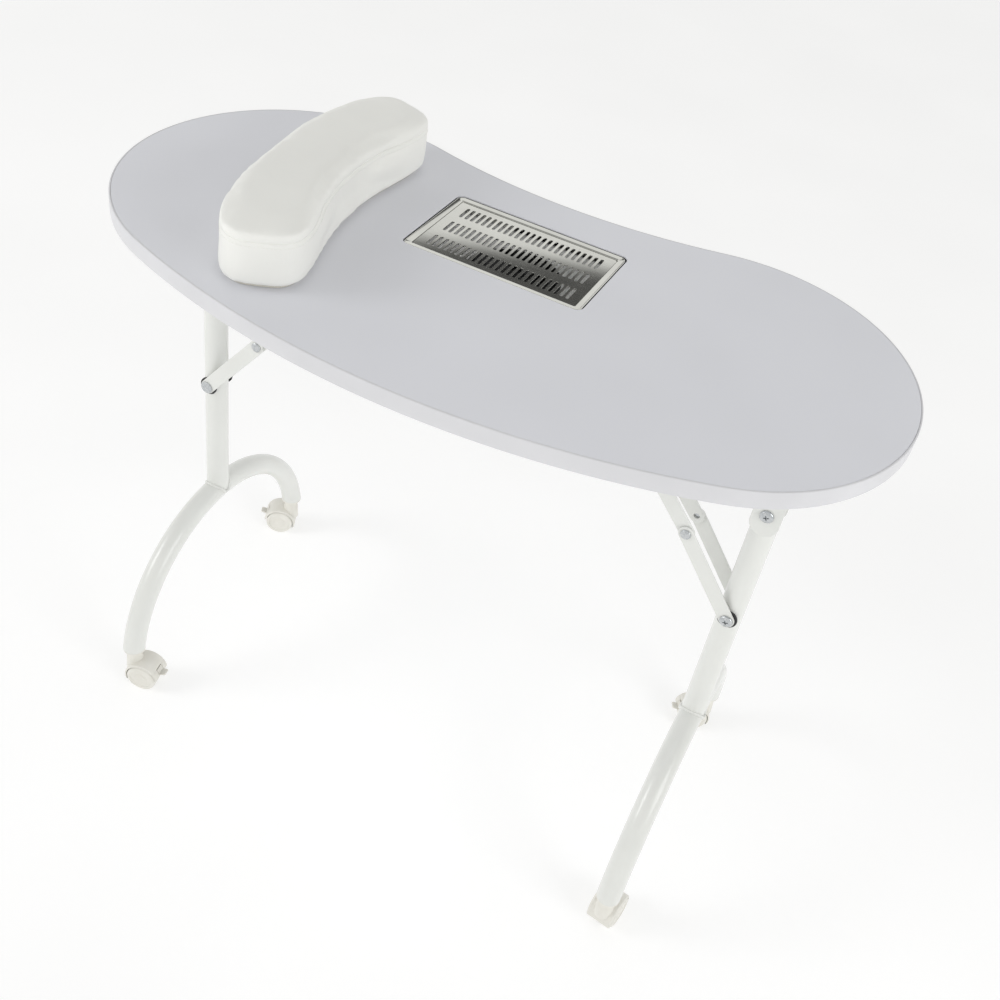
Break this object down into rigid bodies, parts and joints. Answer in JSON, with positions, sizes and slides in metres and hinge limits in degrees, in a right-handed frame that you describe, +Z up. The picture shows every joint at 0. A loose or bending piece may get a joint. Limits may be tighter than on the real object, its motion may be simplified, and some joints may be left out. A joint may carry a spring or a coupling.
{
  "type": "manicure table",
  "caption": "Folding kidney-shaped manicure table with a slotted dust vent, fan box, padded armrest and two braced legs on arched, castered feet.",
  "frame": {"origin": "on the floor under the middle of the top's bounding box", "axes": "+X along the top's length, +Y toward the technician's concave edge, +Z up"},
  "size_m": [0.8998, 0.4639, 0.746],
  "materials": {
    "top_laminate": "satin light grey laminate on board",
    "edge_banding": "smooth white plastic banding",
    "black_rubber": "matt",
    "polished_steel": "mirror polished",
    "white_plastic": "satin",
    "black_plastic": "matt",
    "powder_coat": "glossy white powder coat",
    "zinc_steel": "bright zinc plated",
    "cream_plastic": "satin cream nylon",
    "leatherette": "smooth white leatherette",
    "armrest_board": "plain board"
  },
  "bodies": {
    "table": {"top_board": "top_laminate", "edge_band": "edge_banding", "vent_gasket": "black_rubber", "vent_frame": "polished_steel", "fan_box": "white_plastic", "fan_frame": "black_plastic", "fan_guard": "black_plastic", "switch_bezel": "black_plastic", "power_inlet": "black_plastic", "right_bracket": "powder_coat", "right_pivot_bolt": "zinc_steel", "right_anchor": "powder_coat", "right_anchor_pin": "zinc_steel", "left_bracket": "powder_coat", "left_pivot_bolt": "zinc_steel", "left_anchor": "powder_coat", "left_anchor_pin": "zinc_steel"},
    "vent_plate": {"vent_plate": "polished_steel"},
    "fan_rotor": {"fan_rotor": "black_plastic"},
    "switch_rocker": {"switch_rocker": "black_plastic"},
    "armrest": {"armrest_board": "armrest_board", "armrest_cushion": "leatherette"},
    "right_leg": {"right_post": "powder_coat", "right_foot": "powder_coat", "right_brace_bolt": "zinc_steel", "right_front_spacer": "black_plastic", "right_front_plug": "cream_plastic", "right_back_spacer": "black_plastic", "right_back_plug": "cream_plastic"},
    "right_lower_brace": {"right_front_lower_bar": "powder_coat", "right_front_knee_rivet": "zinc_steel", "right_back_lower_bar": "powder_coat", "right_back_knee_rivet": "zinc_steel"},
    "right_upper_brace": {"right_front_upper_link": "powder_coat", "right_back_upper_link": "powder_coat"},
    "right_front_caster": {"right_front_hood": "cream_plastic"},
    "right_front_wheels": {"right_front_wheels": "cream_plastic"},
    "right_front_brake": {"right_front_brake": "cream_plastic"},
    "right_back_caster": {"right_back_hood": "cream_plastic"},
    "right_back_wheels": {"right_back_wheels": "cream_plastic"},
    "right_back_brake": {"right_back_brake": "cream_plastic"},
    "left_leg": {"left_post": "powder_coat", "left_foot": "powder_coat", "left_brace_bolt": "zinc_steel", "left_front_spacer": "black_plastic", "left_front_plug": "cream_plastic", "left_back_spacer": "black_plastic", "left_back_plug": "cream_plastic"},
    "left_lower_brace": {"left_front_lower_bar": "powder_coat", "left_front_knee_rivet": "zinc_steel", "left_back_lower_bar": "powder_coat", "left_back_knee_rivet": "zinc_steel"},
    "left_upper_brace": {"left_front_upper_link": "powder_coat", "left_back_upper_link": "powder_coat"},
    "left_front_caster": {"left_front_hood": "cream_plastic"},
    "left_front_wheels": {"left_front_wheels": "cream_plastic"},
    "left_front_brake": {"left_front_brake": "cream_plastic"},
    "left_back_caster": {"left_back_hood": "cream_plastic"},
    "left_back_wheels": {"left_back_wheels": "cream_plastic"},
    "left_back_brake": {"left_back_brake": "cream_plastic"}
  },
  "joints": [
    {"name": "right_leg_fold", "type": "hinge", "parent": "table", "child": "right_leg", "pos_m": [0.348, 0, 0.549], "axis": [0, 1, 0], "range_deg": [0, 84]},
    {"name": "right_lower_brace_turn", "type": "hinge", "parent": "right_leg", "child": "right_lower_brace", "pos_m": [0.348, 0, 0.394], "axis": [0, 1, 0], "range_deg": [0, 48]},
    {"name": "right_upper_brace_turn", "type": "hinge", "parent": "table", "child": "right_upper_brace", "pos_m": [0.13847, 0, 0.641], "axis": [0, 1, 0], "range_deg": [-15.28, 0.5]},
    {"name": "left_leg_fold", "type": "hinge", "parent": "table", "child": "left_leg", "pos_m": [-0.348, 0, 0.549], "axis": [0, -1, 0], "range_deg": [0, 90]},
    {"name": "left_lower_brace_turn", "type": "hinge", "parent": "left_leg", "child": "left_lower_brace", "pos_m": [-0.348, 0, 0.394], "axis": [0, -1, 0], "range_deg": [0, 53.16]},
    {"name": "left_upper_brace_turn", "type": "hinge", "parent": "table", "child": "left_upper_brace", "pos_m": [-0.13847, 0, 0.641], "axis": [0, -1, 0], "range_deg": [-13.16, 0.5]},
    {"name": "right_front_swivel", "type": "hinge", "parent": "right_leg", "child": "right_front_caster", "pos_m": [0.348, -0.18388, 0.05], "axis": [0, 0, 1], "continuous": true},
    {"name": "right_front_wheel_spin", "type": "hinge", "parent": "right_front_caster", "child": "right_front_wheels", "pos_m": [0.35009, -0.16903, 0.02], "axis": [-0.9903, 0.1392, 0], "continuous": true},
    {"name": "right_front_brake_press", "type": "hinge", "parent": "right_front_caster", "child": "right_front_brake", "pos_m": [0.35265, -0.15076, 0.0334], "axis": [-0.9903, 0.1392, 0], "range_deg": [0, 6]},
    {"name": "right_back_swivel", "type": "hinge", "parent": "right_leg", "child": "right_back_caster", "pos_m": [0.348, 0.18388, 0.05], "axis": [0, 0, 1], "continuous": true},
    {"name": "right_back_wheel_spin", "type": "hinge", "parent": "right_back_caster", "child": "right_back_wheels", "pos_m": [0.33464, 0.17707, 0.02], "axis": [0.454, -0.891, 0], "continuous": true},
    {"name": "right_back_brake_press", "type": "hinge", "parent": "right_back_caster", "child": "right_back_brake", "pos_m": [0.3182, 0.1687, 0.0334], "axis": [0.454, -0.891, 0], "range_deg": [0, 6]},
    {"name": "left_front_swivel", "type": "hinge", "parent": "left_leg", "child": "left_front_caster", "pos_m": [-0.348, -0.18388, 0.05], "axis": [0, 0, 1], "continuous": true},
    {"name": "left_front_wheel_spin", "type": "hinge", "parent": "left_front_caster", "child": "left_front_wheels", "pos_m": [-0.33333, -0.18076, 0.02], "axis": [-0.2079, 0.9781, 0], "continuous": true},
    {"name": "left_front_brake_press", "type": "hinge", "parent": "left_front_caster", "child": "left_front_brake", "pos_m": [-0.31528, -0.17693, 0.0334], "axis": [-0.2079, 0.9781, 0], "range_deg": [0, 6]},
    {"name": "left_back_swivel", "type": "hinge", "parent": "left_leg", "child": "left_back_caster", "pos_m": [-0.348, 0.18388, 0.05], "axis": [0, 0, 1], "continuous": true},
    {"name": "left_back_wheel_spin", "type": "hinge", "parent": "left_back_caster", "child": "left_back_wheels", "pos_m": [-0.36159, 0.17754, 0.02], "axis": [0.4226, -0.9063, 0], "continuous": true},
    {"name": "left_back_brake_press", "type": "hinge", "parent": "left_back_caster", "child": "left_back_brake", "pos_m": [-0.37831, 0.16975, 0.0334], "axis": [0.4226, -0.9063, 0], "range_deg": [0, 6]},
    {"name": "fan_spin", "type": "hinge", "parent": "table", "child": "fan_rotor", "pos_m": [-0.0065, 0.0706, 0.638], "axis": [0, 0, 1], "continuous": true},
    {"name": "switch_rock", "type": "hinge", "parent": "table", "child": "switch_rocker", "pos_m": [0.0635, -0.0027, 0.64085], "axis": [0, 0, 1], "range_deg": [-7, 7]},
    {"name": "vent_plate_lift", "type": "slide", "parent": "table", "child": "vent_plate", "axis": [0, 0, 1], "range_m": [0, 0.06]},
    {"name": "armrest_lift", "type": "slide", "parent": "table", "child": "armrest", "axis": [0, 0, 1], "range_m": [0, 0.08]}
  ],
  "couplings": [
    {"joint": "right_lower_brace_turn", "follows": "right_leg_fold", "ratio": 0.5655},
    {"joint": "right_upper_brace_turn", "follows": "right_leg_fold", "ratio": -0.1759},
    {"joint": "left_lower_brace_turn", "follows": "left_leg_fold", "ratio": 0.58515},
    {"joint": "left_upper_brace_turn", "follows": "left_leg_fold", "ratio": -0.14066}
  ]
}
